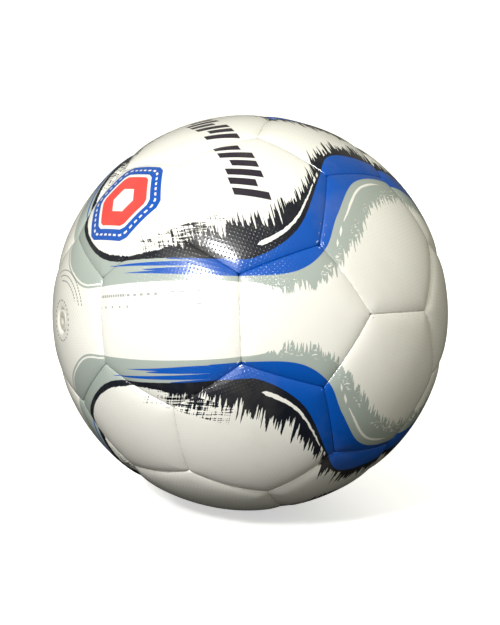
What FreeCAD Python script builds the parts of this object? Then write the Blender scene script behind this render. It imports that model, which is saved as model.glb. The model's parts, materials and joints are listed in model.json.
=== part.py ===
"""A size 4 futsal ball: a hand-stitched cover of thirty-two panels over a valved rubber bladder.

The cover is a truncated icosahedron blown out to a sphere: twelve pentagons and twenty hexagons.
Every panel is a laminate of an outer skin, a foam pad and a cloth lining.  The skin and the lining
turn in at every edge, and the turned-in flanges of two neighbours are saddle-stitched together.
The bladder swells up behind each panel.  Its moulded valve comes out through the valve panel.

Frame, in millimetres: the origin is the ball's centre, -X is the valve's axis pointing out of the
ball, and +Z is up.  Each sub-part is written to parts/NODE.step.
"""

import FreeCAD, Part
import math
import os
from FreeCAD import Matrix, Placement, Rotation, Vector

# The whole ball
CIRCUMFERENCE = 630.0
BALL_R = CIRCUMFERENCE / (2 * math.pi)
LYING_TILT_DEG = -11.4  # how far the ball is rolled about its valve axis

# The cover's layers, from the outside in
SKIN = 1.2
FOAM = 1.5
LINING = 0.8
PLAY = 0.05  # room between two glued layers
SEAM_PLAY = 0.05  # from a seam's middle plane to the skin on each side
SHOULDER_R = 1.8  # the rounding of a skin where it turns in at a seam
TURN_IN = 6.4  # how far the flanges reach in from the ball's surface

# The saddle stitch in each seam
STITCH_DEPTH = 5.1
STITCHES = 7
STITCH_PITCH = 5.0
THREAD_D = 0.8
NEEDLE_HOLE_D = 1.2

# The bladder and what is bonded to it
BLADDER_WALL = 0.9
BLADDER_SEAM_ROOM = 3.4  # from a seam's middle plane to the bladder's swollen part
PATCH_D = 42.0
PATCH = 0.8
BALANCE_PATCH = 1.2

# The strips of soft foam inside the bladder that take the bounce out of the ball
STRIPS = 6
STRIP_W = 26.0
STRIP = 4.0
STRIP_REACH_DEG = 42.0  # how far a strip reaches, each way from the ball's middle

# The valve, along its axis from the outside in
VALVE_HOLE_D = 11.0  # through the panel's layers
HOLE_LIP_R = 0.5
STEM_D = 10.4
STEM_SUNK = 0.7  # how far the stem's face lies under the panel
STEM_EDGE_R = 0.6
FLANGE_D = 30.0
FLANGE = 1.2
BARREL_D = 8.8
BARREL_LENGTH = 14.0
SOCKET_D = 5.6
SEAT_D = 8.3
SEAT_DEPTH = 1.9
CORE_D = 5.5
CORE_HEAD_D = 8.1
CORE_HEAD = 1.8
CORE_LENGTH = 18.2
CORE_TIP_R = 1.2
NEEDLE_BORE_D = 2.4
NEEDLE_BORE_LENGTH = 10.0
MOUTH_D = 4.4
MOUTH_DEPTH = 0.8
RING_D = 26.0
RING = 0.5

# Radii that follow from the layers
SKIN_BACK_R = BALL_R - SKIN
FOAM_FRONT_R = SKIN_BACK_R - PLAY
FOAM_BACK_R = FOAM_FRONT_R - FOAM
LINING_FRONT_R = FOAM_BACK_R - PLAY
LINING_BACK_R = LINING_FRONT_R - LINING
FLANGE_TIP_R = BALL_R - TURN_IN
STITCH_R = BALL_R - STITCH_DEPTH
BLADDER_R = LINING_BACK_R - PLAY
BLADDER_BACK_R = BLADDER_R - BLADDER_WALL
VALLEY_R = FLANGE_TIP_R - PLAY
VALLEY_BACK_R = VALLEY_R - BLADDER_WALL
VALVE_FLANGE_R = BLADDER_BACK_R - PLAY
VALVE_FLANGE_BACK_R = VALVE_FLANGE_R - FLANGE
STEM_FACE_R = BALL_R - STEM_SUNK

# Distances from a seam's middle plane
SKIN_INSET = SEAM_PLAY
SKIN_BACK_INSET = SKIN_INSET + SKIN
LINING_INSET = SKIN_BACK_INSET + PLAY
LINING_BACK_INSET = LINING_INSET + LINING
THREAD_INSET = LINING_BACK_INSET + PLAY + THREAD_D / 2

OUT = Vector(-1, 0, 0)  # the valve's direction
UP = Vector(0, 0, 1)
CENTRE = Vector()
FAR = 130.0  # well outside the ball
NEAR = 60.0  # well under the cover
MIDWAY = 80.0  # between a wedge's low end and the cover
SAME_PLACE = 0.01  # in radians, under which two directions are one
SAME_SIZE = 0.01  # in millimetres, under which two radii are one
SAME_LEVEL = 0.2  # in millimetres, within which an edge counts as lying at a distance
PARTS = "parts"


# ---- where the panels lie -------------------------------------------------------------------


def unit(vector):
    """The vector at length one."""
    return Vector(vector).normalize()


def centre_of(face):
    """The direction of a face's centre."""
    return unit(sum(face, Vector()))


def in_order(face):
    """The face's corners in turn, anticlockwise as seen from outside the ball."""
    axis = centre_of(face)
    across = unit(face[0] - axis * face[0].dot(axis))
    beside = axis.cross(across)
    return sorted(face, key=lambda p: math.atan2(p.dot(beside), p.dot(across)))


def icosahedron():
    """The twelve corner directions of an icosahedron, and each one's five neighbours."""
    golden = (1 + math.sqrt(5)) / 2
    corners = []
    for one in (1, -1):
        for two in (golden, -golden):
            corners += [Vector(0, one, two), Vector(one, two, 0), Vector(two, 0, one)]
    corners = [unit(corner) for corner in corners]
    edge = min(corners[0].getAngle(corner) for corner in corners[1:])
    joined = [
        [j for j, other in enumerate(corners) if SAME_PLACE < corner.getAngle(other) < 1.1 * edge]
        for corner in corners
    ]
    return corners, joined


def truncated_faces():
    """The corners of each pentagon and each hexagon, every edge being cut at its thirds."""
    corners, joined = icosahedron()

    def cut(i, j):
        return unit(corners[i] * 2 + corners[j])

    pentagons = [[cut(i, j) for j in joined[i]] for i in range(12)]
    triangles = [
        (i, j, k) for i in range(12) for j in joined[i] for k in joined[j] if i < j < k and k in joined[i]
    ]
    hexagons = [
        [cut(i, j), cut(j, i), cut(j, k), cut(k, j), cut(k, i), cut(i, k)] for i, j, k in triangles
    ]
    return pentagons, hexagons


def ball_frame(pentagons, hexagons):
    """The turn that brings a hexagon onto the valve's axis, with the ball lying as it does."""
    x = -centre_of(hexagons[0])
    # The pentagon at the front is the second ring of pentagons away from the valve
    rings = sorted(pentagons, key=lambda face: centre_of(face).dot(x))
    front = centre_of(rings[3])
    y = -unit(front - x * front.dot(x))
    z = x.cross(y)
    turn = Matrix(x.x, x.y, x.z, 0, y.x, y.y, y.z, 0, z.x, z.y, z.z, 0)
    lying = Matrix()
    lying.rotateX(math.radians(LYING_TILT_DEG))
    return lying * turn


def ball_faces():
    """The pentagons and the hexagons in the ball's frame, the ones nearest the valve first."""
    pentagons, hexagons = truncated_faces()
    turn = ball_frame(pentagons, hexagons)

    def from_valve(face):
        centre = centre_of(face)
        around = math.degrees(math.atan2(centre.z, -centre.y))
        return round(centre.x, 3), round(around, 1)

    def placed(faces):
        turned = [in_order([turn.multVec(corner) for corner in face]) for face in faces]
        return sorted(turned, key=from_valve)

    return placed(pentagons), placed(hexagons)


def master_face(face):
    """A face of the same size looking along +Z, with its first corner over the +X axis."""
    tilt = centre_of(face).getAngle(face[0])
    turns = [2 * math.pi * k / len(face) for k in range(len(face))]
    return [
        Vector(math.sin(tilt) * math.cos(a), math.sin(tilt) * math.sin(a), math.cos(tilt)) for a in turns
    ]


def onto(face):
    """The placement that carries the master face onto a face."""
    axis = centre_of(face)
    across = unit(face[0] - axis * face[0].dot(axis))
    return Placement(CENTRE, Rotation(across, axis.cross(across), axis, "ZXY"))


def copies(shape, faces):
    """One copy of a master shape for each face."""
    return [shape.transformed(onto(face).toMatrix(), True) for face in faces]


# ---- plain bodies ---------------------------------------------------------------------------


def ball(radius):
    """A solid ball whose poles and seam line lie away from +Z."""
    body = Part.makeSphere(radius)
    body.rotate(CENTRE, Vector(0, 1, 0), 90)
    return body


def wedge(face, inset):
    """The solid angle under a face, drawn in from each seam's middle plane by the inset."""
    axis = centre_of(face)
    seam = unit(face[0].cross(face[1]))
    apex = axis * (inset / seam.dot(axis))
    low = [apex + corner * NEAR for corner in face]
    high = [apex + corner * FAR for corner in face]
    sides = [
        [low[k - 1], low[k], high[k], high[k - 1], low[k - 1]] for k in range(len(face))
    ]
    walls = [Part.Face(Part.makePolygon(side)) for side in sides]
    walls += [Part.Face(Part.makePolygon(ends + [ends[0]])) for ends in (low, high)]
    body = Part.Solid(Part.Shell(walls))
    if body.Volume < 0:
        body.reverse()
    return body


def pillow(face, inset, radius):
    """The part of a ball under a face, drawn in from the seams by the inset."""
    return wedge(face, inset).common(ball(radius))


def rod(diameter, start_r, end_r, axis=OUT):
    """A round rod along an axis through the ball's centre, between two distances from it."""
    return Part.makeCylinder(diameter / 2, end_r - start_r, axis * start_r, axis)


def disc(diameter, back_r, front_r, axis=OUT):
    """A round disc that follows the ball's curve, between two radii."""
    column = rod(diameter, NEAR, FAR, axis)
    return column.common(Part.makeSphere(front_r)).cut(Part.makeSphere(back_r))


def rounded(body, radius, chosen):
    """The body with the chosen edges rounded."""
    return body.makeFillet(radius, [edge for edge in body.Edges if chosen(edge)])


def over_low_end(edge):
    """Whether an edge of a pillow is an upright or an outer one, not one round its low end."""
    return max(vertex.Point.Length for vertex in edge.Vertexes) > MIDWAY


def is_circle(edge, radius, distance):
    """Whether an edge is a circle of this radius about the valve's axis, so far from the centre."""
    if edge.Degenerated or not isinstance(edge.Curve, Part.Circle):
        return False
    curve = edge.Curve
    same_size = abs(curve.Radius - radius) < SAME_SIZE
    return same_size and abs(curve.Center.Length - distance) < SAME_LEVEL


# ---- the cover ------------------------------------------------------------------------------


def stitch_frames(face):
    """For each seam of a face: the seam's inward normal and its stitches' directions."""
    frames = []
    for k in range(len(face)):
        normal = unit(face[k - 1].cross(face[k]))
        middle = unit(face[k - 1] + face[k])
        along = normal.cross(middle)
        step = STITCH_PITCH / STITCH_R
        turns = [step * (i - (STITCHES - 1) / 2) for i in range(STITCHES)]
        stitches = [middle * math.cos(turn) + along * math.sin(turn) for turn in turns]
        frames.append((normal, stitches))
    return frames


def needle_holes(face):
    """The cutters for the row of needle holes along each edge of a face."""
    reach = 2 * THREAD_INSET
    return [
        Part.makeCylinder(NEEDLE_HOLE_D / 2, 2 * reach, stitch * STITCH_R - normal * reach, normal)
        for normal, stitches in stitch_frames(face)
        for stitch in stitches
    ]


def tray(face, inset, radius, wall, edge_r=0.0):
    """A layer that follows the ball and turns in at every edge, with its needle holes."""
    body = pillow(face, inset, radius)
    if edge_r:
        body = rounded(body, edge_r, over_low_end)
    hollow = pillow(face, inset + wall, radius - wall).fuse(ball(FLANGE_TIP_R))
    return body.cut(hollow).cut(needle_holes(face))


def foam_pad(face):
    """The foam between a panel's skin and its lining."""
    return pillow(face, LINING_INSET, FOAM_FRONT_R).cut(ball(FOAM_BACK_R))


def thread_end(centre, along):
    """The six-sided outline of a cut thread that runs along a direction."""
    across = unit(along.cross(UP if abs(along.z) < 0.9 else OUT))
    beside = unit(along).cross(across)
    turns = [math.pi * k / 3 for k in range(7)]
    corners = [centre + (across * math.cos(a) + beside * math.sin(a)) * (THREAD_D / 2) for a in turns]
    return Part.Face(Part.makePolygon(corners))


def saddle_stitch(face):
    """The thread of a face's first seam: a run along each side, and one crossing per stitch."""
    normal, stitches = stitch_frames(face)[0]
    run_r = math.sqrt(STITCH_R**2 - THREAD_INSET**2)
    overhang = THREAD_D / 2 / run_r
    forward = normal.cross(stitches[0])
    first = unit(stitches[0] - forward * overhang) * run_r
    sweep = math.degrees(stitches[0].getAngle(stitches[-1]) + 2 * overhang)
    crossing = normal * 2 * THREAD_INSET
    pieces = []
    for side in (normal, -normal):
        run = thread_end(first, normal.cross(first)).revolve(CENTRE, normal, sweep)
        run.translate(side * THREAD_INSET)
        pieces.append(run)
    for stitch in stitches:
        pieces.append(thread_end(stitch * run_r - normal * THREAD_INSET, crossing).extrude(crossing))
    return pieces[0].fuse(pieces[1:])


def seams(faces):
    """Each seam once, as a face whose first two corners are the seam's ends."""
    found = []
    for face in faces:
        for k in range(len(face)):
            middle = unit(face[k - 1] + face[k])
            if all(middle.getAngle(other) > SAME_PLACE for other, _ in found):
                found.append((middle, unit(face[k - 1].cross(face[k]))))
    return found


def seam_threads(pentagons, hexagons):
    """The saddle stitch of every seam."""
    master = master_face(hexagons[0])
    thread = saddle_stitch(master)
    home = unit(master[-1] + master[0])
    home_normal = unit(master[-1].cross(master[0]))
    back = Placement(CENTRE, Rotation(home, home_normal, home.cross(home_normal), "ZXY")).inverse()
    threads = []
    for middle, normal in seams(hexagons + pentagons):
        there = Placement(CENTRE, Rotation(middle, normal, middle.cross(normal), "ZXY"))
        threads.append(thread.transformed(there.multiply(back).toMatrix(), True))
    return threads


# ---- the bladder and the valve --------------------------------------------------------------


def swollen(faces, inset, radius, valley_r):
    """A ball that swells up under every face and stays low along the seams."""
    swellings = []
    for some in faces:
        swellings += copies(pillow(master_face(some[0]), inset, radius), some)
    return Part.makeSphere(valley_r).fuse(swellings)


def bladder(faces):
    """The rubber bladder, with the hole for the valve's stem."""
    outside = swollen(faces, BLADDER_SEAM_ROOM, BLADDER_R, VALLEY_R)
    inside = swollen(faces, BLADDER_SEAM_ROOM + BLADDER_WALL, BLADDER_BACK_R, VALLEY_BACK_R)
    return outside.cut(inside).cut(rod(STEM_D + 2 * PLAY, NEAR, FAR))


def valve_body():
    """The valve's rubber body: a flange, the stem through the panel, and the barrel inside."""
    stem = rod(STEM_D, VALVE_FLANGE_BACK_R, STEM_FACE_R)
    stem = rounded(stem, STEM_EDGE_R, lambda edge: is_circle(edge, STEM_D / 2, STEM_FACE_R))
    flange = disc(FLANGE_D, VALVE_FLANGE_BACK_R, VALVE_FLANGE_R)
    barrel_end = VALVE_FLANGE_BACK_R - BARREL_LENGTH
    barrel = rod(BARREL_D, barrel_end, VALVE_FLANGE_R)
    barrel = rounded(barrel, STEM_EDGE_R, lambda edge: is_circle(edge, BARREL_D / 2, barrel_end))
    body = stem.fuse([flange, barrel])
    seat = rod(SEAT_D, STEM_FACE_R - SEAT_DEPTH, FAR)
    return body.cut([seat, rod(SOCKET_D, NEAR, FAR)])


def valve_core():
    """The plug that closes the valve, with the guide hole for the pump's needle."""
    tip = STEM_FACE_R - CORE_LENGTH
    head_back = STEM_FACE_R - CORE_HEAD
    shank = rounded(rod(CORE_D, tip, head_back), CORE_TIP_R, lambda edge: is_circle(edge, CORE_D / 2, tip))
    core = shank.fuse(rod(CORE_HEAD_D, head_back, STEM_FACE_R))
    bore = rod(NEEDLE_BORE_D, STEM_FACE_R - NEEDLE_BORE_LENGTH, FAR)
    mouth = Part.makeCone(
        NEEDLE_BORE_D / 2, MOUTH_D / 2, MOUTH_DEPTH, OUT * (STEM_FACE_R - MOUTH_DEPTH), OUT
    )
    return core.cut([bore, mouth])


def valve_patch():
    """The round rubber patch inside the bladder that holds the valve's flange."""
    back_r = VALVE_FLANGE_BACK_R - PLAY - PATCH
    patch = disc(PATCH_D, back_r, VALVE_FLANGE_R)
    recess = disc(FLANGE_D + 2 * PLAY, VALVE_FLANGE_BACK_R - PLAY, FAR)
    return patch.cut([recess, rod(BARREL_D + 2 * PLAY, NEAR, FAR)])


def damping_strips():
    """Strips of soft foam lying against the inside of the bladder, round the valve's axis."""
    outer_r = VALLEY_BACK_R - PLAY
    shell = ball(outer_r).cut(ball(outer_r - STRIP))
    reach = outer_r * math.sin(math.radians(STRIP_REACH_DEG))
    slab = Part.makeBox(2 * reach, STRIP_W, FAR, Vector(-reach, -STRIP_W / 2, 0))
    strip = shell.common(slab)
    strips = []
    for k in range(STRIPS):
        strips.append(strip.copy())
        strips[-1].rotate(CENTRE, OUT, 360.0 * (k + 0.5) / STRIPS + LYING_TILT_DEG)
    return strips


# ---- the sub-parts --------------------------------------------------------------------------


def write(node, shapes):
    """Write the solids of one sub-part to its STEP file."""
    solids = [solid for shape in shapes for solid in shape.Solids]
    for solid in solids:
        if not solid.isValid() or solid.Volume <= 0:
            raise ValueError(node + " holds a bad solid")
    shape = solids[0] if len(solids) == 1 else Part.makeCompound(solids)
    shape.exportStep(PARTS + "/" + node + ".step")
    volume = sum(solid.Volume for solid in solids)
    print(node, len(solids), "solids", round(volume / 1000, 3), "cm3")


def write_cover(pentagons, hexagons):
    """The skins, foam pads, linings and threads."""
    for kind, faces in (("pentagon", pentagons), ("hexagon", hexagons)):
        master = master_face(faces[0])
        skins = copies(tray(master, SKIN_INSET, BALL_R, SKIN, SHOULDER_R), faces)
        pads = copies(foam_pad(master), faces)
        linings = copies(tray(master, LINING_INSET, LINING_FRONT_R, LINING), faces)
        if kind == "hexagon":
            write_valve_panel(skins.pop(0), pads.pop(0), linings.pop(0))
        for number, skin in enumerate(skins, 1):
            write("%s_panel_%02d" % (kind, number), [skin])
        write(kind + "_foam_pads", pads)
        write(kind + "_linings", linings)
    write("seam_stitching", seam_threads(pentagons, hexagons))


def write_valve_panel(skin, pad, lining):
    """The three layers of the panel the valve comes through, and the ring between them."""
    hole = rod(VALVE_HOLE_D, NEAR, FAR)
    lip_r = math.sqrt(BALL_R**2 - (VALVE_HOLE_D / 2) ** 2)
    panel = rounded(skin.cut(hole), HOLE_LIP_R, lambda edge: is_circle(edge, VALVE_HOLE_D / 2, lip_r))
    ring = disc(RING_D, FOAM_BACK_R, FOAM_BACK_R + RING).cut(hole)
    recess = disc(RING_D + 2 * PLAY, NEAR, FOAM_BACK_R + RING + PLAY)
    write("valve_panel", [panel])
    write("valve_foam_pad", [pad.cut([hole, recess])])
    write("valve_lining", [lining.cut(hole)])
    write("valve_hole_ring", [ring])


def main():
    """Write every sub-part."""
    os.makedirs(PARTS, exist_ok=True)
    pentagons, hexagons = ball_faces()
    write_cover(pentagons, hexagons)
    write("bladder", [bladder([pentagons, hexagons])])
    write("valve_patch", [valve_patch()])
    write("balance_patch", [disc(PATCH_D, VALVE_FLANGE_R - BALANCE_PATCH, VALVE_FLANGE_R, -OUT)])
    write("damping_strips", damping_strips())
    write("valve_body", [valve_body()])
    write("valve_core", [valve_core()])


main()
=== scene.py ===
"""A size 4 futsal ball in a plain studio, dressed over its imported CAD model.

Lengths are in metres unless a name says mm, in the CAD's frame: the valve's axis is -X and +Z is
up.  Places in the printed pattern are in degrees: first the azimuth round the valve's axis,
counted from the front pentagon towards the top, then the angle away from the valve.
"""

import json
import math

import bpy
import numpy as np
from mathutils import Matrix, Vector
from mathutils.kdtree import KDTree

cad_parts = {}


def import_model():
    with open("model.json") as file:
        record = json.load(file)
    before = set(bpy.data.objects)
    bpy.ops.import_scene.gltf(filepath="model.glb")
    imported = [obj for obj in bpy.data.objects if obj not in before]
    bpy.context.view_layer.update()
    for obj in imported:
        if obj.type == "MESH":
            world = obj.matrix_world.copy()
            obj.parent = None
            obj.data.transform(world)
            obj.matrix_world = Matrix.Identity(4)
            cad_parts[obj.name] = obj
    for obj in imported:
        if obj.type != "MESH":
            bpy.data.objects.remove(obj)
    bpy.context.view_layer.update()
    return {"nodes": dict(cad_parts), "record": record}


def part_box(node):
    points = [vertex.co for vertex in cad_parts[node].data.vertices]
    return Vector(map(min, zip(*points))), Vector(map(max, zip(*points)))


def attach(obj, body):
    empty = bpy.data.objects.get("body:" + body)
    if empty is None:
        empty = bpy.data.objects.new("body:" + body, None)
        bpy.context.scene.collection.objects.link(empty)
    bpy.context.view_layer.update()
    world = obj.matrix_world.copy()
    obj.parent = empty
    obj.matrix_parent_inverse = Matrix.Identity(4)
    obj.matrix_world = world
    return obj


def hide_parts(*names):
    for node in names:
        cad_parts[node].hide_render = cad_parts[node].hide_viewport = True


MM = 0.001

# The ball, as in the CAD
BALL_R_MM = 630.0 / (2 * math.pi)
LYING_TILT = math.radians(-11.4)
SKIN_MM = 1.2
TURN_IN_MM = 6.4
VALVE_HOLE_R_MM = 5.5
STITCH_PITCH_MM = 5.0
FRONT_PENTAGON = 79.2  # degrees from the valve to the front pentagon's centre

# The camera, in degrees and metres from the ball's centre
CAMERA_AZIMUTH = -25.2
CAMERA_ELEVATION = 12.0
CAMERA_ROLL = 3.17
CAMERA_DISTANCE = 7.356 * BALL_R_MM * MM
LENS_MM = 83.1
SENSOR_MM = 36.0

# The shape of an inflated panel
SEAM_GAP_MM = 0.03  # from a seam's middle plane to the cover on each side
SHOULDER_MM = 0.75
SHOULDER_DROP_MM = 0.3
PILLOW_DROP_MM = 1.5  # how far the air's pillow falls away towards a seam
PILLOW_REACH_MM = 3.6
CORNER_SOFT_MM = 0.4  # how far a panel's corners are rounded off
CROWN_MM = 0.15  # how far a panel's middle stands out
CROWN_REACH_MM = 22.0
CROWN_SOFT_MM = 3.0
CROWN_POWER = 0.7
PUCKER_MM = 0.07  # how far each stitch draws the seam in
PUCKER_REACH_MM = 1.6
WOBBLE_MM = 0.16
WOBBLE_SCALES = (5.0, 9.0, 14.0, 23.0)  # radians of wave to each radian round the ball
WAVES_PER_SCALE = 3
WOBBLE_SUM = 2.2  # what the waves rarely add up to
SUNK_MM = 0.1  # how far the whole cover lies under the CAD's sphere
HOLE_DIP_MM = 0.5  # how far the cover sinks at the valve's hole
HOLE_DIP_REACH_MM = 3.0
HOLE_LIP = 0.35  # the width of the hole's rounded lip, in hole radii
HOLE_LIP_MM = 1.3  # and its depth
HOLE_LIP_END = 0.2  # radians short of the lip's top, where its rings stop

# The mesh of a panel
AROUND = 180  # points round each ring, so that each corner of any panel has one
SHOULDER_STEPS = 9
FACE_STEPS = 17
FACE_CROWDING = 1.6  # how much the face's rings crowd towards the seams
LIP_STEPS = 6
SMALLEST_RING = 0.02  # of the way from a panel's middle to its edge
BACK_STEPS = (0.06, 0.3, 0.6, 1.0)
WALL_DEPTHS_MM = (2.6, 4.5, TURN_IN_MM - 0.4)
FLANGE_BACK_DEPTHS_MM = (TURN_IN_MM, 3.6, SKIN_MM + 0.9)
BACK_DEPTH_MM = SKIN_MM + 0.75
WIDEST = 0.6  # radians from its axis, which no panel reaches
HALVINGS = 34
TINY = 1e-9  # keeps a division by a distance safe at the middle

# The print's colours
WHITE = (0.90, 0.89, 0.835)
BLUE = (0.002, 0.088, 0.46)
GREY = (0.40, 0.455, 0.42)
BLACK = (0.009, 0.011, 0.018)
RED = (0.86, 0.07, 0.06)
INK_GREY = (0.30, 0.31, 0.31)
INK_BLACK = (0.028, 0.022, 0.034)
GRIME = (0.42, 0.38, 0.30)

# The studio, where a lamp's way is given to the right, upwards and towards the camera
FLOOR_LEVEL = -BALL_R_MM * MM
FLOOR_REACH = 10.0
WALL_REACH = 9.0
WALL_HEIGHT = 5.0
WALL_SIDES = 48
PALE = (0.90, 0.90, 0.90)
PALER = (0.915, 0.915, 0.91)
SKY = (1.0, 0.975, 0.82)
SKY_TOP = 0.76
SKY_FOOT = 0.03
SKY_BLEND = 0.45  # the height, up and down from level, over which the sky fades to its foot
SKY_REFLECTED = 0.22  # how much of the sky the gloss sees, as in a room with a dark ceiling
KEY_WAY = (-0.36, 0.365, 0.858)
FRONT_WAY = (-0.45, -0.12, 0.885)
BACK_WAY = (0.2, 0.62, -0.76)
LAMPS = {
    "key": {"toward": KEY_WAY, "distance": 1.3, "size": 0.18, "watts": 12.0},
    "glint": {"toward": KEY_WAY, "distance": 1.25, "size": 0.23, "watts": 26.0, "lights": False},
    "front": {"toward": FRONT_WAY, "distance": 1.6, "size": 0.9, "watts": 6.2},
    "back": {"toward": BACK_WAY, "distance": 1.6, "size": 0.9, "watts": 4.5, "shines": False,
             "colour": (0.95, 0.97, 1.0)},
}


# ---- directions and frames ------------------------------------------------------------------


def unit(v):
    """The vectors at length one."""
    v = np.asarray(v, float)
    return v / np.linalg.norm(v, axis=-1, keepdims=True)


def about_x(angle):
    """The matrix of a turn about the X axis."""
    c, s = math.cos(angle), math.sin(angle)
    return np.array([[1, 0, 0], [0, c, -s], [0, s, c]])


def direction(azimuth, from_valve):
    """The direction of a place in the print, before the ball is laid down."""
    a, t = np.radians(azimuth), np.radians(from_valve)
    return np.stack([-np.cos(t), -np.sin(t) * np.cos(a), np.sin(t) * np.sin(a)], axis=-1)


def laid(v):
    """Directions of the print's own frame in the CAD's frame."""
    return v @ about_x(LYING_TILT).T


def lifted(v):
    """Directions of the CAD's frame in the print's own frame."""
    return v @ about_x(LYING_TILT)


def centre_of(corners):
    """The direction of a face's centre."""
    return unit(np.sum(corners, axis=0))


def tangents(axis, toward):
    """Two directions square to an axis, the first leaning towards another direction."""
    first = unit(toward - axis * np.dot(toward, axis))
    return first, np.cross(axis, first)


# ---- the panel layout -----------------------------------------------------------------------


def icosahedron():
    """The twelve corner directions of an icosahedron, turned so that a face looks at the valve."""
    near = math.degrees(math.acos(math.sqrt((5 + 2 * math.sqrt(5)) / 15)))
    far = math.degrees(math.acos(math.sqrt((5 - 2 * math.sqrt(5)) / 15)))
    corners = direction([60, 180, 300, 0, 120, 240], [near, near, near, far, far, far])
    return np.concatenate([corners, -corners])


def panel_faces():
    """The corner directions of every pentagon and hexagon, every edge being cut at its thirds."""
    corners = icosahedron()
    joined = [np.flatnonzero(np.isclose(row, 1 / math.sqrt(5))) for row in corners @ corners.T]

    def cut(i, j):
        """The corner a third of the way along an edge."""
        return unit(corners[i] * 2 + corners[j])

    faces = [[cut(i, j) for j in joined[i]] for i in range(12)]
    for i in range(12):
        for j in joined[i]:
            for k in joined[j]:
                if i < j < k and k in joined[i]:
                    faces.append([cut(i, j), cut(j, i), cut(j, k), cut(k, j), cut(k, i), cut(i, k)])
    return [in_order(laid(np.array(face))) for face in faces]


def in_order(corners):
    """The corners in turn, anticlockwise as seen from outside the ball."""
    axis = centre_of(corners)
    across, beside = tangents(axis, corners[0])
    return corners[np.argsort(np.arctan2(corners @ beside, corners @ across))]


def panel_centres(nodes):
    """The direction of every CAD panel's centre, by name."""
    names = [name for name in nodes if "_panel" in name]
    return {name: unit(sum(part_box(name), Vector())) for name in names}


def node_at(axis, centres):
    """The CAD panel that lies in a direction."""
    return max(centres, key=lambda name: centres[name] @ axis)


# ---- the shape of a panel -------------------------------------------------------------------


def soft_least(distances, softness):
    """The least of some distances, rounded off where two are nearly equal."""
    least = distances.min(axis=-1)
    spread = np.exp(-(distances - least[..., None]) / softness).sum(axis=-1)
    return least - softness * np.log(spread)


class Face:
    """One panel's outline: its axis, its seams, and rings of directions inside it."""

    def __init__(self, corners):
        self.corners = corners
        self.axis = centre_of(corners)
        self.seams = unit(np.cross(corners, np.roll(corners, -1, axis=0)))
        self.across, self.beside = tangents(self.axis, corners[0])
        turns = np.arange(AROUND) * 2 * math.pi / AROUND
        self.spokes = np.outer(np.cos(turns), self.across) + np.outer(np.sin(turns), self.beside)

    def towards(self, tilts):
        """The directions at these angles from the axis, one along each spoke."""
        return np.cos(tilts)[:, None] * self.axis + np.sin(tilts)[:, None] * self.spokes

    def from_seams(self, directions):
        """The distance in mm to each seam's middle plane."""
        return BALL_R_MM * directions @ self.seams.T

    def ring(self, inset_mm):
        """The angles from the axis at which the soft distance to the seams is the inset."""
        low = np.zeros(AROUND)
        high = np.full(AROUND, WIDEST)
        for _ in range(HALVINGS):
            middle = (low + high) / 2
            inside = soft_least(self.from_seams(self.towards(middle)), CORNER_SOFT_MM) > inset_mm
            low = np.where(inside, middle, low)
            high = np.where(inside, high, middle)
        return low

    def plan(self, directions):
        """Flat panel coordinates in mm, measured from the panel's centre."""
        tilt = np.arccos(np.clip(directions @ self.axis, -1, 1))
        x, y = directions @ self.across, directions @ self.beside
        reach = BALL_R_MM * tilt / np.maximum(np.hypot(x, y), TINY)
        return np.stack([x * reach, y * reach], axis=-1)


def wobble(directions):
    """A gentle unevenness of the stuffed cover, mostly between -1 and 1."""
    total = 0
    rng = np.random.default_rng(7)
    for scale in WOBBLE_SCALES:
        for _ in range(WAVES_PER_SCALE):
            wave = unit(rng.normal(size=3)) * scale
            total = total + np.sin(directions @ wave + rng.uniform(0, 6.3)) / math.sqrt(scale)
    return total / WOBBLE_SUM


def face_height(face, directions):
    """How far the outside stands over the ball's plain sphere, in mm, away from the shoulder."""
    distances = face.from_seams(directions)
    wide = soft_least(distances, CROWN_SOFT_MM)
    near = np.maximum(soft_least(distances, CORNER_SOFT_MM), 0)
    drop = PILLOW_DROP_MM * np.exp(-near / PILLOW_REACH_MM)
    crown = CROWN_MM * np.clip(wide / CROWN_REACH_MM, 0, 1) ** CROWN_POWER
    # Each stitch draws the seam in a little
    seam = distances.argmin(axis=-1)
    middles = unit(face.corners + np.roll(face.corners, -1, axis=0))
    along = np.cross(face.seams, middles)[seam]
    run = BALL_R_MM * np.arcsin(np.clip((directions * along).sum(axis=-1), -1, 1))
    pucker = PUCKER_MM * np.cos(2 * math.pi * run / STITCH_PITCH_MM)
    pucker = pucker * np.exp(-near / PUCKER_REACH_MM)
    return crown - drop - pucker + WOBBLE_MM * wobble(directions) - SUNK_MM


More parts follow.
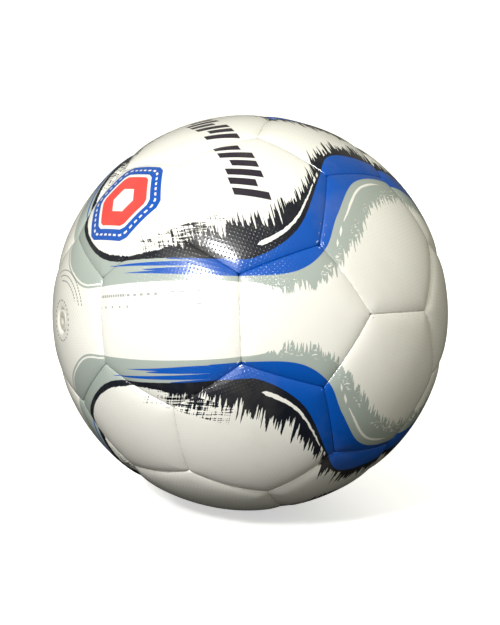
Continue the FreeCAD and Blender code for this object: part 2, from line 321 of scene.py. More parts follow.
def shell_rings(face, hole_r_mm):
    """A panel's rings from its middle outside, over the shoulder, and back to its middle inside.

    Each ring is (angles from the axis, depth in mm under the outside).  The number of rings on
    the outside comes with them.
    """
    bend = np.linspace(0, math.pi / 2, SHOULDER_STEPS)
    shoulder = [face.ring(SEAM_GAP_MM + SHOULDER_MM * (1 - math.sin(a))) for a in bend]
    drops = [SHOULDER_DROP_MM * (1 - math.cos(a)) for a in bend]
    edge, wall = shoulder[0], shoulder[-1]
    inner = face.ring(SEAM_GAP_MM + SKIN_MM)
    hole = np.full(AROUND, hole_r_mm / BALL_R_MM)
    # The face's rings crowd towards the seams, where the pillow curves most
    fractions = [1 - (1 - k / FACE_STEPS) ** FACE_CROWDING for k in range(FACE_STEPS)]
    start = hole * (1 + HOLE_LIP) if hole_r_mm else edge * SMALLEST_RING
    rings = []
    if hole_r_mm:
        for a in np.linspace(math.pi / 2, HOLE_LIP_END, LIP_STEPS):
            lip = hole * (1 + HOLE_LIP * (1 - math.sin(a)))
            rings.append((lip, HOLE_LIP_MM * (1 - math.cos(a))))
    rings += [(start + (edge - start) * f, 0.0) for f in fractions]
    rings += list(zip(shoulder, drops))
    outer_count = len(rings)
    rings += [(wall, depth) for depth in WALL_DEPTHS_MM]
    rings += [(inner, depth) for depth in FLANGE_BACK_DEPTHS_MM]
    end = hole if hole_r_mm else inner * SMALLEST_RING
    rings += [(inner + (end - inner) * f, BACK_DEPTH_MM) for f in BACK_STEPS]
    return rings, outer_count


def panel_mesh(name, face, hole_r_mm):
    """The mesh of one panel, its points' directions, and how many of them lie outside."""
    rings, outer_count = shell_rings(face, hole_r_mm)
    directions, radii = [], []
    for tilts, depth in rings:
        ways = face.towards(tilts)
        height = face_height(face, ways)
        if hole_r_mm:
            from_hole = BALL_R_MM * tilts - hole_r_mm
            height = height - HOLE_DIP_MM * np.exp(-np.abs(from_hole) / HOLE_DIP_REACH_MM)
        directions.append(ways)
        radii.append(BALL_R_MM + height - depth)
    outside = outer_count * AROUND
    grid = np.arange(len(rings) * AROUND).reshape(-1, AROUND)
    if not hole_r_mm:
        # A point in the middle closes each side
        middle = face.axis[None]
        level = BALL_R_MM + face_height(face, middle)
        directions = [middle, *directions, middle]
        radii = [level, *radii, level - rings[-1][1]]
        outside += 1
        grid += 1
    directions = np.concatenate(directions)
    radii = np.concatenate(radii)
    after = np.roll(grid, -1, axis=1)
    quads = np.stack([grid[:-1], grid[1:], after[1:], after[:-1]], axis=-1).reshape(-1, 4)
    faces = [tuple(q) for q in quads]
    if hole_r_mm:
        faces += [tuple(q) for q in np.stack([grid[-1], grid[0], after[0], after[-1]], axis=-1)]
    else:
        faces += [(0, a, b) for a, b in zip(grid[0], after[0])]
        faces += [(len(radii) - 1, b, a) for a, b in zip(grid[-1], after[-1])]
    mesh = bpy.data.meshes.new(name)
    mesh.from_pydata((directions * radii[:, None] * MM).tolist(), [], faces)
    mesh.polygons.foreach_set("use_smooth", [True] * len(mesh.polygons))
    mesh.update()
    return mesh, directions, outside


# ---- the print ------------------------------------------------------------------------------

# Each outline runs from the azimuth-60 meridian near the valve to the azimuth-0 meridian on the
# far side; turns and mirrorings about the valve's axis make the six parts of the closed line.
# An edge is called after the colour that ends at it.
WHITE_TO_GREY = [
    (60, 13.8), (33, 16.6), (23.4, 24), (14.6, 45), (10.2, 66.5), (7.2, 77), (10.6, 87.3),
    (20.6, 97), (31, 106), (38.5, 122), (34, 142), (14, 152.5), (0, 154),
]
GREY_TO_BLUE = [
    (60, 19), (34, 24), (19, 41), (12.7, 62), (12, 77.4), (17.3, 86.7), (27, 92.5), (38.5, 101.5),
    (43.5, 115), (44, 136), (18, 156), (0, 158),
]
BLUE_TO_BLACK = [
    (60, 24), (37.8, 27.3), (28.2, 36.2), (18.6, 59), (17.3, 69), (24, 80.8), (39.5, 91),
    (48.3, 97.5), (50.4, 110), (51, 130), (37, 154), (0, 162.2),
]
BLACK_TO_WHITE = [
    (60, 25.4), (38, 29.7), (28, 42.5), (27, 60), (29.5, 75.8), (37.8, 86.3), (48.5, 93.8),
    (54.6, 103), (54.6, 114), (56, 130), (44.5, 155.5), (0, 167),
]
SPAN_SAMPLES = 36

# The angles from the valve over which the brush comes to show in an edge
WHITE_EDGE_BRUSHED = (68, 76)
BLACK_EDGE_BRUSHED = (46, 54)


def catmull_rom(points):
    """A smooth curve through all the points but the first and the last."""
    t = np.linspace(0, 1, SPAN_SAMPLES, endpoint=False)[:, None]
    spans = []
    for a, b, c, d in zip(points, points[1:], points[2:], points[3:]):
        bend = a - 2.5 * b + 2 * c - d / 2
        twist = 1.5 * (b - c) + (d - a) / 2
        spans.append(b + t * (c - a) / 2 + t**2 * bend + t**3 * twist)
    return np.concatenate(spans)


class Outline:
    """A closed line round the ball, which answers how far off it a direction lies."""

    def __init__(self, places):
        # The curve's ends lean on the mirror images of the places next to them
        before = (120 - places[1][0], places[1][1])
        after = (-places[-2][0], places[-2][1])
        curve = unit(catmull_rom(direction(*np.array([before, *places, after]).T)))
        side = unit(np.cross(np.gradient(curve, axis=0), curve))
        if (side * np.cross(curve, (1, 0, 0))).sum() < 0:
            side = -side
        turns = [about_x(third * 2 * math.pi / 3) for third in range(3)]
        moves = [turn @ np.diag([1, 1, mirror]) for turn in turns for mirror in (1, -1)]
        self.points = np.concatenate([curve @ move.T for move in moves])
        self.sides = np.concatenate([side @ move.T for move in moves])
        self.tree = KDTree(len(self.points))
        for number, point in enumerate(self.points):
            self.tree.insert(point, number)
        self.tree.balance()

    def measure(self, directions):
        """How many degrees past the line each direction lies, and the line's own side there."""
        nearest = np.array([self.tree.find(way)[1] for way in directions.tolist()])
        side = self.sides[nearest]
        off = ((directions - self.points[nearest]) * side).sum(axis=1)
        return np.degrees(off), side


def ease(x, low, high):
    """A smooth step from 0 at low to 1 at high."""
    t = np.clip((x - low) / (high - low), 0, 1)
    return t * t * (3 - 2 * t)


def places_of(directions):
    """The azimuth and the angle from the valve of directions in the print's frame, in degrees."""
    azimuth = np.degrees(np.arctan2(directions[:, 2], -directions[:, 1]))
    return azimuth, np.degrees(np.arccos(np.clip(-directions[:, 0], -1, 1)))


def map_about(middle, azimuth, from_valve):
    """Flat coordinates in degrees about a place on azimuth 0: away from the valve, and sideways."""
    way = direction(azimuth, from_valve)
    x = way @ direction(0, middle + 90)
    y = way[:, 2]
    reach = np.degrees(np.arccos(np.clip(way @ direction(0, middle), -1, 1)))
    stretch = reach / np.maximum(np.hypot(x, y), TINY)
    return x * stretch, y * stretch


def store(mesh, name, columns):
    """Store up to three numbers on every point of a mesh."""
    rows = np.zeros((len(mesh.vertices), 3), np.float32)
    rows[:, :len(columns)] = np.stack(columns, axis=-1)
    layer = mesh.attributes.new(name, "FLOAT_VECTOR", "POINT")
    layer.data.foreach_set("vector", rows.ravel())


def brushed(measured, around, least):
    """How much the brush shows in an edge: most where its strokes run square to the edge."""
    return least + (1 - least) * np.abs((measured[1] * around).sum(axis=1))


def store_print(mesh, face, directions, outside, outlines):
    """Store on a panel's mesh where each of its points lies in the print.

    The shader draws the print from these: distances to the outlines vary smoothly, so the edges
    it draws at zero stay sharp however coarse the mesh.
    """
    shown = lifted(directions[:outside])
    azimuth, from_valve = places_of(shown)
    around = unit(np.cross(shown, (1, 0, 0)))
    white, grey, blue, black = [outline.measure(shown) for outline in outlines]
    white_brushed = ease(from_valve, *WHITE_EDGE_BRUSHED) * brushed(white, around, 0.2)
    black_brushed = 0.06 + 0.94 * ease(from_valve, *BLACK_EDGE_BRUSHED)
    black_brushed = black_brushed * brushed(black, around, 0.35)
    folded = np.abs((azimuth + 60) % 120 - 60)
    x, y = map_about(FRONT_PENTAGON, folded, from_valve)
    plan = face.plan(directions[:outside])
    columns = {
        "inner_edges": (white[0], grey[0], blue[0]),
        "outer_edge": (black[0], white_brushed, black_brushed),
        "print_map": (x, np.abs(y), from_valve),
        "round_valve": (azimuth, np.sign(azimuth), folded * np.sin(np.radians(from_valve))),
        "plan": (plan[:, 0], plan[:, 1]),
    }
    # The turned-in flange and the back carry on the colour of the edge
    hidden = len(directions) - outside
    for name, values in columns.items():
        store(mesh, name, [np.concatenate([v, np.resize(v[-AROUND:], hidden)]) for v in values])


# ---- shader building ------------------------------------------------------------------------


class Nodes:
    """A node tree being built, with short ways to make nodes and join them."""

    def __init__(self, owner):
        owner.use_nodes = True
        self.nodes = owner.node_tree.nodes
        self.links = owner.node_tree.links

    def join(self, value, socket):
        """Set a socket from a number, a colour or another node's output."""
        if isinstance(value, bpy.types.NodeSocket):
            self.links.new(value, socket)
        elif isinstance(value, tuple):
            socket.default_value = value + (1,)
        else:
            socket.default_value = value

    def node(self, kind, inputs, **settings):
        """A new node with its settings and inputs."""
        made = self.nodes.new(kind)
        for name, value in settings.items():
            setattr(made, name, value)
        for where, value in inputs.items():
            self.join(value, made.inputs[where])
        return made

    def math(self, operation, *values):
        """The output of a Math node."""
        return self.node("ShaderNodeMath", dict(enumerate(values)), operation=operation).outputs[0]

    def add(self, a, b):
        """a plus b."""
        return self.math("ADD", a, b)

    def times(self, a, b):
        """a times b."""
        return self.math("MULTIPLY", a, b)

    def minus(self, a, b):
        """a less b."""
        return self.math("SUBTRACT", a, b)

    def ramp(self, value, low, high, to_low=0.0, to_high=1.0):
        """A value carried from one range to another, and held at its ends."""
        ends = {"From Min": low, "From Max": high, "To Min": to_low, "To Max": to_high}
        return self.node("ShaderNodeMapRange", {"Value": value, **ends}).outputs["Result"]

    def past(self, value, edge=0.0, soft=0.05):
        """1 where a value is past an edge and 0 before it."""
        return self.ramp(value, edge - soft, edge + soft)

    def near(self, value, middle, reach, soft=0.05):
        """1 where a value is within reach of a middle one."""
        off = self.math("ABSOLUTE", self.minus(value, middle))
        return self.past(self.minus(reach, off), 0.0, soft)

    def between(self, value, low, high, soft=0.05):
        """1 where a value lies between two others."""
        return self.near(value, (low + high) / 2, (high - low) / 2, soft)

    def both(self, *masks):
        """1 where all the masks are 1."""
        made = masks[0]
        for mask in masks[1:]:
            made = self.times(made, mask)
        return made

    def either(self, *masks):
        """1 where any of the masks is 1."""
        made = masks[0]
        for mask in masks[1:]:
            made = self.math("MAXIMUM", made, mask)
        return made

    def without(self, mask, taken):
        """A mask where another one isn't."""
        return self.times(mask, self.minus(1.0, taken))

    def mix(self, mask, a, b):
        """Colour a where the mask is 0 and colour b where it is 1."""
        # A Mix node has its factor at 0 and its colours at 6 and 7, and gives out colour at 2
        return self.node("ShaderNodeMix", {0: mask, 6: a, 7: b}, data_type="RGBA").outputs[2]

    def parts(self, name):
        """The three numbers stored on a mesh under a name."""
        stored = self.node("ShaderNodeAttribute", {}, attribute_name=name).outputs["Vector"]
        return self.node("ShaderNodeSeparateXYZ", {"Vector": stored}).outputs[:3]

    def place(self):
        """The point's place in the CAD's frame, in metres."""
        return self.node("ShaderNodeTexCoord", {}).outputs["Object"]

    def vector(self, x, y, z):
        """A vector made of three numbers."""
        return self.node("ShaderNodeCombineXYZ", {"X": x, "Y": y, "Z": z}).outputs[0]

    def noise(self, vector, scale, detail=2.0, roughness=0.5):
        """A cloudy noise, mostly between 0.3 and 0.7."""
        inputs = {"Vector": vector, "Scale": scale, "Detail": detail, "Roughness": roughness}
        return self.node("ShaderNodeTexNoise", inputs).outputs["Fac"]

    def cells(self, vector, scale):
        """The distance to the nearest of some scattered points."""
        made = self.node("ShaderNodeTexVoronoi", {"Vector": vector, "Scale": scale})
        return made.outputs["Distance"]

    def bump(self, height, distance, normal=None):
        """A normal bent by a height, which stands for this distance in metres."""
        made = self.node("ShaderNodeBump", {"Height": height, "Distance": distance})
        if normal is not None:
            self.links.new(normal, made.inputs["Normal"])
        return made.outputs["Normal"]


class Shader(Nodes):
    """A material being built."""

    def __init__(self, name):
        self.material = bpy.data.materials.new(name)
        super().__init__(self.material)
        self.surface = self.nodes["Principled BSDF"]

    def finish(self, colour, roughness, normal, **settings):
        """Join up the surface and hand over the material."""
        inputs = {"Base Color": colour, "Roughness": roughness, "Normal": normal}
        inputs.update({name.replace("_", " "): value for name, value in settings.items()})
        for name, value in inputs.items():
            self.join(value, self.surface.inputs[name])
        return self.material


# ---- the printed cover ----------------------------------------------------------------------

GRAIN_PITCH_MM = 1.75
GRAIN_DEPTH = 0.14 * MM
GRAIN_SHARPNESS = 3.4
SOFTENED = 0.17  # how much of the grain's depth the print under the coat follows

# The brush, in degrees of the print
BRUSH_REACH = 15.0  # how far a stroke's end moves as its noise goes from 0 to 1
PATCH_REACH = 6.0
SIDE_CHANGE = 14.0  # turns height into the noises' third coordinate, so that no two sides match
WHITE_BRUSH_SHARE = 0.62  # how far it moves the white's edge, against the black's
BLACK_LEAST = 0.9  # the black line's least width
BARE_BAND = (0.0, 2.8)
DRY_BRUSH_BAND = (-0.6, 5.0)
DRY_BRUSH_FROM_VALVE = (39.0, 63.0)
THIN_WHITE_END = 23.0
THIN_WHITE_INSET = 0.85
THIN_WHITE_HALF_WIDTH = 0.24

# The blue on the arm, in the print's map about the front pentagon's centre
ARM_TILT = 0.065  # how much the streaks slant
ARM_PIVOT = -16.4
SOLID_BLUE_FROM = -24.6
STREAK_POWER = 0.6
STREAKS = [
    # the tip, where the streak is full, and its two sides there
    ((-54.4, 11.7), -38.4, 11.5, 12.75),
    ((-42.5, 13.15), -23.7, 12.0, 13.8),
    ((-54.2, 14.8), -25.0, 13.8, 15.45),
    ((-35.3, 16.1), -26.4, 15.45, 18.5),
]

# The thin white strokes, by angle from the valve: each swells over one stretch and tapers over
# another, which are given with the stroke's half width at their ends
BLACK_STROKE_START = 69.2
BLACK_STROKE_END = 88.2
BLACK_STROKE_INSET = (69.0, 88.0, 3.0, 1.0)
BLACK_STROKE_SWELLS = (BLACK_STROKE_START, 70.4, 0.0, 0.6)
BLACK_STROKE_TAPERS = (72.0, BLACK_STROKE_END, 0.6, 0.12)
GREY_STROKE_START = 94.0
GREY_STROKE_SWELLS = (GREY_STROKE_START, 97.0, 0.12, 0.34)
GREY_STROKE_TAPERS = (108.0, 112.0, 0.34, 0.0)
GREY_STROKE_INSET = 2.2
DOT_HALF_WIDTH = 0.32
BLACK_DOTS = ((89.2, 0.45, 0.95), (90.6, 0.35, 0.8))
GREY_DOTS = ((92.4, 0.5, -GREY_STROKE_INSET), (90.7, 0.3, -GREY_STROKE_INSET))


def streak(s, x, y, tip, full, low, high):
    """A pointed streak which widens from its tip."""
    share = s.math("POWER", s.ramp(x, tip[0], full), STREAK_POWER)
    under = s.minus(y, s.add(tip[1], s.times(share, low - tip[1])))
    over = s.minus(s.add(tip[1], s.times(share, high - tip[1])), y)
    return s.both(s.past(under), s.past(over), s.past(x, tip[0]))


def blue_mask(s, x, y, grey_edge):
    """Where the band is blue: all of it but the arm, where it breaks up into streaks."""
    slanted = s.add(y, s.times(s.minus(x, ARM_PIVOT), ARM_TILT))
    streaks = [streak(s, x, slanted, *shape) for shape in STREAKS]
    solid = s.past(x, SOLID_BLUE_FROM, 0.4)
    return s.both(s.past(grey_edge), s.either(solid, *streaks))


def stroke(s, from_valve, off, swells, tapers):
    """A thin stroke along a line, from the distance off the line."""
    width = s.math("MINIMUM", s.ramp(from_valve, *swells), s.ramp(from_valve, *tapers))
    return s.past(s.minus(width, s.math("ABSOLUTE", off)))


def highlight_strokes(s, from_valve, grey_edge, blue_edge, ragged):
    """The thin white strokes inside the black and inside the grey, each ending in dots."""
    black_line = s.add(s.ramp(from_valve, *BLACK_STROKE_INSET), ragged)
    off_black = s.minus(blue_edge, black_line)
    in_black = s.both(stroke(s, from_valve, off_black, BLACK_STROKE_SWELLS, BLACK_STROKE_TAPERS),
                      s.past(from_valve, BLACK_STROKE_START),
                      s.past(s.minus(BLACK_STROKE_END, from_valve)))
    off_grey = s.add(grey_edge, s.add(GREY_STROKE_INSET, s.times(ragged, 0.5)))
    in_grey = s.both(stroke(s, from_valve, off_grey, GREY_STROKE_SWELLS, GREY_STROKE_TAPERS),
                     s.past(from_valve, GREY_STROKE_START))
    dots = [s.both(s.near(from_valve, where, reach), s.near(edge, line, DOT_HALF_WIDTH))
            for edge, places in ((blue_edge, BLACK_DOTS), (grey_edge, GREY_DOTS))
            for where, reach, line in places]
    return s.either(in_black, in_grey, *dots)


def printed_colour(s):
    """The colour of the printed band round the ball."""
    white_edge, grey_edge, blue_edge = s.parts("inner_edges")
    black_edge, white_brushed, black_brushed = s.parts("outer_edge")
    x, y, from_valve = s.parts("print_map")
    along = s.parts("round_valve")[2]
    height = s.node("ShaderNodeSeparateXYZ", {"Vector": s.place()}).outputs[2]
    side = s.times(height, SIDE_CHANGE)

    def stretched(away, round_valve, detail=1.0):
        """A noise by how fast it varies away from the valve and round it."""
        place = s.vector(s.times(from_valve, away), s.times(along, round_valve), side)
        return s.noise(place, 1.0, detail)

    # Brush strokes run round the valve's axis, so they vary fast away from it and slowly round it
    strokes = stretched(1.9, 0.07)
    patches = stretched(0.3, 0.1)
    brush = s.add(s.times(s.minus(strokes, 0.5), BRUSH_REACH),
                  s.times(s.minus(patches, 0.5), PATCH_REACH))
    ragged = s.times(s.minus(s.noise(s.place(), 420.0), 0.5), 0.5)
    white_end = s.add(white_edge, s.times(s.times(brush, white_brushed), WHITE_BRUSH_SHARE))
    blue_end = s.add(blue_edge, s.times(ragged, 0.5))
    black_end = s.add(black_edge, s.add(s.times(brush, black_brushed), s.times(ragged, 0.5)))
    black_end = s.math("MINIMUM", black_end, s.minus(blue_edge, BLACK_LEAST))
    # Bare dabs just inside the grey
    dabs = stretched(1.1, 1.9, 2.0)
    bare = s.both(s.past(dabs, 0.6, 0.02), s.past(white_brushed, 0.5),
                  s.between(white_edge, *BARE_BAND), s.past(patches, 0.52))
    # The crossed streaks of a dry brush outside the black
    crossed = s.add(stretched(2.6, 0.15), stretched(0.2, 2.6))
    dryness = s.add(s.ramp(from_valve, 39, 51, 1.12, 0.93), s.ramp(from_valve, 54, 63, 0, 0.22))
    dryness = s.add(dryness, s.ramp(black_edge, 0, 4.8, 0, 0.12))
    stray = s.both(s.past(s.minus(crossed, dryness), 0.0, 0.02),
                   s.between(black_edge, *DRY_BRUSH_BAND),
                   s.between(from_valve, *DRY_BRUSH_FROM_VALVE, 0.5))
    near_valve = s.past(s.minus(THIN_WHITE_END, from_valve), 0.0, 0.5)
    thin_line = s.add(white_edge, s.times(ragged, 0.6))
    thin_white = s.both(near_valve, s.near(thin_line, THIN_WHITE_INSET, THIN_WHITE_HALF_WIDTH))
    colour = s.mix(s.without(s.past(white_end), s.either(bare, thin_white)), WHITE, GREY)
    colour = s.mix(blue_mask(s, x, y, grey_edge), colour, BLUE)
    colour = s.mix(s.past(blue_end), colour, BLACK)
    colour = s.mix(s.without(s.past(black_end), stray), colour, WHITE)
    on_top = highlight_strokes(s, from_valve, grey_edge, blue_edge, ragged)
    return s.mix(on_top, colour, WHITE)


def no_marks(s, colour):
    """A panel with nothing but the band."""
    return colour


def panel_skin(name, marks=no_marks):
    """The cover's skin: smooth coated leathercloth with a fine pressed grain, printed and worn."""
    s = Shader(name)
    place = s.place()
    colour = marks(s, printed_colour(s))
    grime = s.ramp(s.noise(place, 26.0, 4.0, 0.6), 0.5, 0.78, 0.0, 0.22)
    colour = s.mix(grime, colour, s.mix(0.55, colour, GRIME))
    # The grain is a grid of small round bumps, turned by 45 degrees
    plan_x, plan_y = s.parts("plan")[:2]
    turn = 2 * math.pi / (GRAIN_PITCH_MM * math.sqrt(2))
    rows = s.ramp(s.math("SINE", s.times(s.add(plan_x, plan_y), turn)), -1.0, 1.0)
    columns = s.ramp(s.math("SINE", s.times(s.minus(plan_x, plan_y), turn)), -1.0, 1.0)
    grain = s.math("POWER", s.times(rows, columns), GRAIN_SHARPNESS)
    fine = s.noise(place, 900.0)
    gloss = s.bump(grain, GRAIN_DEPTH, s.bump(fine, 0.03 * MM))
    normal = s.bump(grain, GRAIN_DEPTH * SOFTENED, s.bump(fine, 0.06 * MM))
    roughness = s.ramp(s.noise(place, 60.0, 3.0), 0.3, 0.7, 0.3, 0.42)
    coat = {"Coat_Weight": 1.0, "Coat_Roughness": 0.2, "Coat_Normal": gloss}
    return s.finish(colour, roughness, normal, Specular_IOR_Level=0.1, **coat)


# ---- small marks on single panels -----------------------------------------------------------

# Along the arm: the level, half thickness, start, end, period and inked share of each row
ARM_ROWS = [
    (7.7, 0.42, -57.6, -48.0, 0.85, 0.74),
    (7.6, 0.34, -47.6, -37.0, 2.1, 0.45),
    (7.9, 0.16, -34.2, -23.8, 5.3, 0.9),
    (4.3, 0.34, -58.2, -45.2, 2.6, 0.22),
    (4.4, 0.16, -27.4, -26.2, 1.3, 0.9),
]

# Round the valve: a ring in strokes, and each row's angle from the valve, start and end
RING_FROM_VALVE = 5.6
RING_PERIOD = 15.0
VALVE_ROWS = ((11.0, 30, 96), (12.5, 20, 104), (14.0, 16, 110))
VALVE_ROW_SCALE = 60.0  # degrees round the valve for each dash, at one degree from it

# The badge, in degrees across from its centre
BADGE_AZIMUTH = 62.2
BADGE_FROM_VALVE = 39.4
BADGE_RIM = 12.2
BADGE_DASHES = 10.6
BADGE_DASH_COUNT = 36
BADGE_LINE = 8.95
BADGE_FIELD = 7.95
BADGE_MIDDLE = 3.6
BADGE_CORNER_CUT = 0.91

# The title's bars: the azimuths of their pairs, and where the first pair starts and ends
BAR_AZIMUTHS = (38.6, 46.6, 54.6, 66.6, 74.6, 82.6)
BAR_FROM_VALVE = (66.7, 75.6)
BAR_CLIMB = (0.35, 0.15)  # how much farther from the valve each next pair starts and ends
BAR_APART = (-2.0, 2.1)
BAR_HALF_WIDTH = 1.35
BAR_SHORTER = 1.1  # half of how much shorter a pair's second bar is than its first
BAR_SLANT = 0.5
BAR_PIVOT = 71.0


def row_of_dashes(s, x, y, level, half_thickness, start, end, period, share):
    """Short dashes in a straight row."""
    beat = s.math("FRACT", s.times(s.minus(x, start), 1 / period))
    dash = s.past(s.minus(share, beat), 0.0, 0.04)
    return s.both(dash, s.near(y, level, half_thickness), s.between(x, start, end))


def front_marks(s, colour):
    """Two lines of small grey dashes along the arm's upper edge."""
    x, y, _ = s.parts("print_map")
    upper = s.past(s.parts("round_valve")[1])
    rows = [row_of_dashes(s, x, y, *row) for row in ARM_ROWS]
    return s.mix(s.times(s.both(upper, s.either(*rows)), 0.85), colour, INK_GREY)


def valve_marks(s, colour):
    """A broken ring round the valve, and short curved rows of dashes beyond it."""
    from_valve = s.parts("print_map")[2]
    azimuth = s.parts("round_valve")[0]
    beat = s.math("FRACT", s.times(s.add(azimuth, 180.0), 1 / RING_PERIOD))
    ring = s.both(s.near(from_valve, RING_FROM_VALVE, 0.24), s.past(s.minus(0.45, beat), 0.0, 0.03))
    rows = []
    for level, start, end in VALVE_ROWS:
        beat = s.math("FRACT", s.times(azimuth, level / VALVE_ROW_SCALE))
        dash = s.past(s.minus(0.7, beat), 0.0, 0.04)
        within = s.between(azimuth, start, end, 0.5)
        rows.append(s.both(s.near(from_valve, level, 0.18), dash, within))
    return s.mix(s.times(s.either(ring, *rows), 0.8), colour, BLACK)


def badge_marks(s, colour):
    """A plain six-sided badge: a blue rim with white dashes, a red field and a white middle."""
    p, q = s.parts("badge")[:2]
    reach = s.math("SQRT", s.add(s.times(p, p), s.times(q, q)))
    turn = s.add(s.math("ARCTAN2", q, p), 2 * math.pi)
    wedge = s.minus(s.math("MODULO", turn, math.pi / 3), math.pi / 6)
    flat = s.times(reach, s.math("COSINE", wedge))
    level = s.math("MAXIMUM", flat, s.times(reach, BADGE_CORNER_CUT))
    beat = s.math("FRACT", s.times(turn, BADGE_DASH_COUNT / (2 * math.pi)))
    dashes = s.both(s.near(level, BADGE_DASHES, 0.28), s.near(beat, 0.5, 0.27))
    colour = s.mix(s.past(s.minus(BADGE_RIM, level)), colour, BLUE)
    colour = s.mix(s.either(s.past(s.minus(BADGE_LINE, level)), dashes), colour, WHITE)
    colour = s.mix(s.past(s.minus(BADGE_FIELD, level)), colour, RED)
    return s.mix(s.past(s.minus(BADGE_MIDDLE, flat)), colour, WHITE)


def title_marks(s, colour):
    """A row of plain slanted bars over the two hexagons above the front pentagon."""
    from_valve = s.parts("print_map")[2]
    azimuth = s.parts("round_valve")[0]
    slanted = s.add(azimuth, s.times(s.minus(from_valve, BAR_PIVOT), BAR_SLANT))
    bars = []
    for number, place in enumerate(BAR_AZIMUTHS):
        low, high = (end + climb * number for end, climb in zip(BAR_FROM_VALVE, BAR_CLIMB))
        middle, half = (low + high) / 2, (high - low) / 2
        # The second bars stand alternately lower and higher
        lifts = (0, BAR_SHORTER if number % 2 else -BAR_SHORTER)
        for apart, lift in zip(BAR_APART, lifts):
            length = s.near(from_valve, middle + lift, half - abs(lift))
            bars.append(s.both(s.near(slanted, place + apart, BAR_HALF_WIDTH), length))
    return s.mix(s.either(*bars), colour, INK_BLACK)


# ---- the inside -----------------------------------------------------------------------------

WEAVE_PITCH = 0.9 * MM
BLOOM_LEVEL = 0.75  # the grey towards which bloom fades a rubber's colour
BLOOM_SHARE = 0.12  # and how far


def darker(tint, share):
    """A share of a colour."""
    return tuple(c * share for c in tint)


def foam(name, tint):
    """Closed-cell foam, with its cut cells showing."""
    s = Shader(name)
    place = s.place()
    cells = s.cells(place, 900.0)
    colour = s.mix(s.ramp(cells, 0.1, 0.6), tint, darker(tint, 0.72))
    return s.finish(colour, s.ramp(cells, 0.0, 0.7, 0.8, 0.95), s.bump(cells, 0.25 * MM))


def woven_cloth(name, tint):
    """Cotton and polyester backing cloth in a plain weave."""
    s = Shader(name)
    x, y, z = s.node("ShaderNodeSeparateXYZ", {"Vector": s.place()}).outputs[:3]
    turn = 2 * math.pi / WEAVE_PITCH
    warp = s.math("SINE", s.times(s.add(x, z), turn))
    weft = s.math("SINE", s.times(s.minus(y, z), turn))
    weave = s.times(warp, weft)
    colour = s.mix(s.ramp(weave, -1.0, 1.0), tint, darker(tint, 0.78))
    return s.finish(colour, s.ramp(weave, -1.0, 1.0, 0.78, 0.92), s.bump(weave, 0.12 * MM))


def waxed_thread(name, tint):
    """Twisted polyester thread with wax on it."""
    s = Shader(name)
    wave = {"Vector": s.place(), "Scale": 520.0, "Distortion": 1.5}
    twist = s.node("ShaderNodeTexWave", wave).outputs["Fac"]
    colour = s.mix(twist, tint, darker(tint, 0.7))
    return s.finish(colour, s.ramp(twist, 0.0, 1.0, 0.42, 0.6), s.bump(twist, 0.08 * MM))


def rubber(name, tint, smoothest):
    """Moulded rubber with a faint bloom."""
    s = Shader(name)
    place = s.place()
    bloom = s.noise(place, 120.0, 4.0, 0.6)
    pale = tuple(c + (BLOOM_LEVEL - c) * BLOOM_SHARE for c in tint)
    colour = s.mix(s.ramp(bloom, 0.35, 0.7), tint, pale)
    roughness = s.ramp(bloom, 0.3, 0.7, smoothest, smoothest + 0.18)
    return s.finish(colour, roughness, s.bump(s.noise(place, 1600.0), 0.05 * MM))


INSIDE = {
    "pad_foam": (foam, (0.80, 0.79, 0.74)),
    "lining_cloth": (woven_cloth, (0.74, 0.72, 0.66)),
    "waxed_thread": (waxed_thread, (0.70, 0.68, 0.62)),
    "bladder_rubber": (rubber, (0.022, 0.022, 0.024), 0.42),
    "patch_rubber": (rubber, (0.05, 0.05, 0.052), 0.5),
    "damping_foam": (foam, (0.48, 0.50, 0.45)),
    "valve_rubber": (rubber, (0.68, 0.66, 0.58), 0.38),
    "core_rubber": (rubber, (0.52, 0.50, 0.43), 0.42),
    "ring_cloth": (woven_cloth, (0.64, 0.60, 0.51)),
}


def dress_inside(nodes, record):
    """Give every CAD piece that still shows the material of its slot."""
    made = {slot: maker(slot, *given) for slot, (maker, *given) in INSIDE.items()}
    for subpart in record["subparts"]:
        slot = subpart["material_slot"]
        if slot in made:
            node = nodes[subpart["node"]]
            node.data.materials.clear()
            node.data.materials.append(made[slot])


# ---- the panels -----------------------------------------------------------------------------

VALVE_PANEL_WITHIN = 5  # degrees of the valve, where only its own panel has its centre
BADGE_PANEL = (60, 37)
MARKED_PANELS = {
    # where its centre is in the print: (its name among the materials, how its marks are drawn)
    (0, 42): ("arm", front_marks),
    BADGE_PANEL: ("badge", badge_marks),
    (38, 71): ("title_left", title_marks),
    (82, 71): ("title_right", title_marks),
}


def add_panel(number, corners, centres, outlines, skins):
    """One sewn panel, standing for the CAD panel that lies in its place."""
    face = Face(corners)
    azimuth, from_valve = (float(v[0]) for v in places_of(lifted(face.axis[None])))
    is_valve = from_valve < VALVE_PANEL_WITHIN
    kind = "pentagon" if len(corners) == 5 else "hexagon"
    name = f"{kind}_cover_{number:02d}"
    mesh, directions, outside = panel_mesh(name, face, VALVE_HOLE_R_MM if is_valve else 0)
    store_print(mesh, face, directions, outside, outlines)
    piece = bpy.data.objects.new(name, mesh)
    bpy.context.scene.collection.objects.link(piece)
    key = "valve" if is_valve else (round(azimuth), round(from_valve))
    if key == BADGE_PANEL:
        own_azimuth, own_angle = places_of(lifted(directions))
        badge_map = map_about(BADGE_FROM_VALVE, own_azimuth - BADGE_AZIMUTH, own_angle)
        store(mesh, "badge", badge_map)
    mesh.materials.append(skins.get(key, skins["plain"]))
    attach(piece, "ball")
    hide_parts(node_at(face.axis, centres))


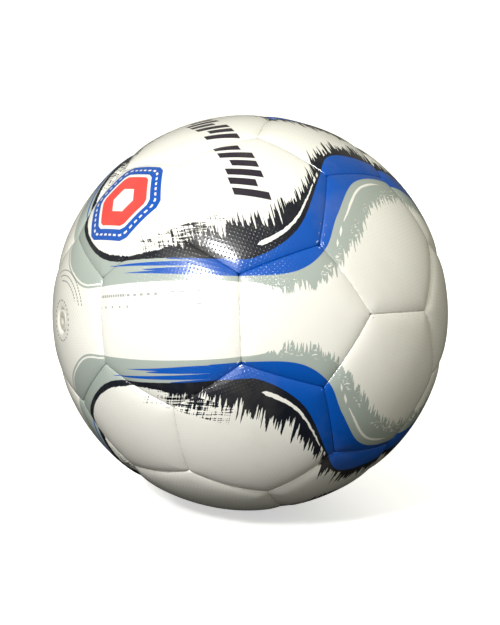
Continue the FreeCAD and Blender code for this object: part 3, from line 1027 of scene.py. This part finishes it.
def add_panels(nodes):
    """All thirty-two panels."""
    lines = (WHITE_TO_GREY, GREY_TO_BLUE, BLUE_TO_BLACK, BLACK_TO_WHITE)
    outlines = [Outline(line) for line in lines]
    skins = {"plain": panel_skin("panel_skin")}
    skins["valve"] = panel_skin("panel_skin_valve", valve_marks)
    for place, (label, marks) in MARKED_PANELS.items():
        skins[place] = panel_skin("panel_skin_" + label, marks)
    centres = panel_centres(nodes)
    for number, corners in enumerate(panel_faces(), 1):
        add_panel(number, corners, centres, outlines, skins)


# ---- studio ---------------------------------------------------------------------------------


def camera_frame():
    """The camera's right, up and backward directions."""
    azimuth, elevation = math.radians(CAMERA_AZIMUTH), math.radians(CAMERA_ELEVATION)
    ahead = Vector((-math.sin(azimuth), math.cos(azimuth), 0))
    back = Vector((0, 0, math.sin(elevation))) - ahead * math.cos(elevation)
    level = Vector((math.cos(azimuth), math.sin(azimuth), 0))
    over = back.cross(level)
    roll = math.radians(CAMERA_ROLL)
    right = level * math.cos(roll) + over * math.sin(roll)
    return right, back.cross(right), back


def add_camera():
    """The camera at the photograph's viewing angle."""
    right, up, back = camera_frame()
    data = bpy.data.cameras.new("camera")
    data.lens = LENS_MM
    data.sensor_width = SENSOR_MM
    camera = bpy.data.objects.new("camera", data)
    bpy.context.scene.collection.objects.link(camera)
    turned = Matrix((right, up, back)).transposed().to_4x4()
    camera.matrix_world = Matrix.Translation(back * CAMERA_DISTANCE) @ turned
    bpy.context.scene.camera = camera


def add_lamp(name, toward, distance, size, watts, colour=(1.0, 1.0, 1.0), lights=True, shines=True):
    """A soft round lamp that looks at the ball from a direction given in the camera's frame.

    One that doesn't light shows only in the ball's gloss, and one that doesn't shine never does.
    """
    right, up, back = camera_frame()
    way = (right * toward[0] + up * toward[1] + back * toward[2]).normalized()
    data = bpy.data.lights.new(name, "AREA")
    data.shape = "DISK"
    data.size = size
    data.energy = watts
    data.color = colour
    lamp = bpy.data.objects.new(name, data)
    lamp.visible_diffuse = lights
    lamp.visible_glossy = shines
    bpy.context.scene.collection.objects.link(lamp)
    turned = way.to_track_quat("Z", "Y").to_matrix().to_4x4()
    lamp.matrix_world = Matrix.Translation(way * distance) @ turned


def stage_surface(name, points, faces, cloud_scale, glow):
    """A pale glowing surface which neither lights the ball nor shows in its gloss."""
    mesh = bpy.data.meshes.new(name)
    mesh.from_pydata(points, [], faces)
    piece = bpy.data.objects.new(name, mesh)
    bpy.context.scene.collection.objects.link(piece)
    s = Shader(name)
    tone = s.ramp(s.noise(s.place(), cloud_scale), 0.3, 0.7)
    light = {"Emission_Color": (1.0, 1.0, 1.0), "Emission_Strength": glow}
    colour = s.mix(tone, PALE, PALER)
    bumps = s.bump(tone, 0.1 * MM)
    mesh.materials.append(s.finish(colour, 0.9, bumps, Specular_IOR_Level=0.0, **light))
    piece.visible_diffuse = False
    piece.visible_glossy = False
    return piece


def add_floor():
    """A plain pale floor under the ball."""
    sides = ((-1, -1), (1, -1), (1, 1), (-1, 1))
    corners = [(x * FLOOR_REACH, y * FLOOR_REACH, FLOOR_LEVEL) for x, y in sides]
    floor = stage_surface("floor", corners, [(0, 1, 2, 3)], 3.0, 0.5)


def add_backdrop():
    """A plain white wall far round the floor, which shows only in views from low down."""
    turns = [2 * math.pi * k / WALL_SIDES for k in range(WALL_SIDES)]
    foot = [(WALL_REACH * math.cos(a), WALL_REACH * math.sin(a), FLOOR_LEVEL) for a in turns]
    top = [(x, y, WALL_HEIGHT) for x, y, _ in foot]
    quads = []
    for k in range(WALL_SIDES):
        after = (k + 1) % WALL_SIDES
        quads.append((k, after, after + WALL_SIDES, k + WALL_SIDES))
    wall = stage_surface("backdrop", foot + top, quads, 0.3, 1.0)
    wall.visible_shadow = False


def add_sky():
    """Even light from all round, brighter above than below, and dimmer to the ball's gloss."""
    world = bpy.data.worlds.new("studio")
    s = Nodes(world)
    way = s.node("ShaderNodeTexCoord", {}).outputs["Generated"]
    height = s.node("ShaderNodeSeparateXYZ", {0: way}).outputs["Z"]
    strength = s.ramp(height, -SKY_BLEND, SKY_BLEND, SKY_FOOT, SKY_TOP)
    in_gloss = s.node("ShaderNodeLightPath", {}).outputs["Is Glossy Ray"]
    dimming = s.ramp(in_gloss, 0.0, 1.0, 1.0, SKY_REFLECTED)
    background = s.nodes["Background"].inputs
    s.join(s.times(strength, dimming), background["Strength"])
    s.join(SKY, background["Color"])
    bpy.context.scene.world = world


def main():
    """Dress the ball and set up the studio."""
    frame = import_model()
    add_panels(frame["nodes"])
    dress_inside(frame["nodes"], frame["record"])
    add_floor()
    add_backdrop()
    add_sky()
    for name, settings in LAMPS.items():
        add_lamp(name, **settings)
    add_camera()
    bpy.context.scene.view_settings.view_transform = "Standard"


main()
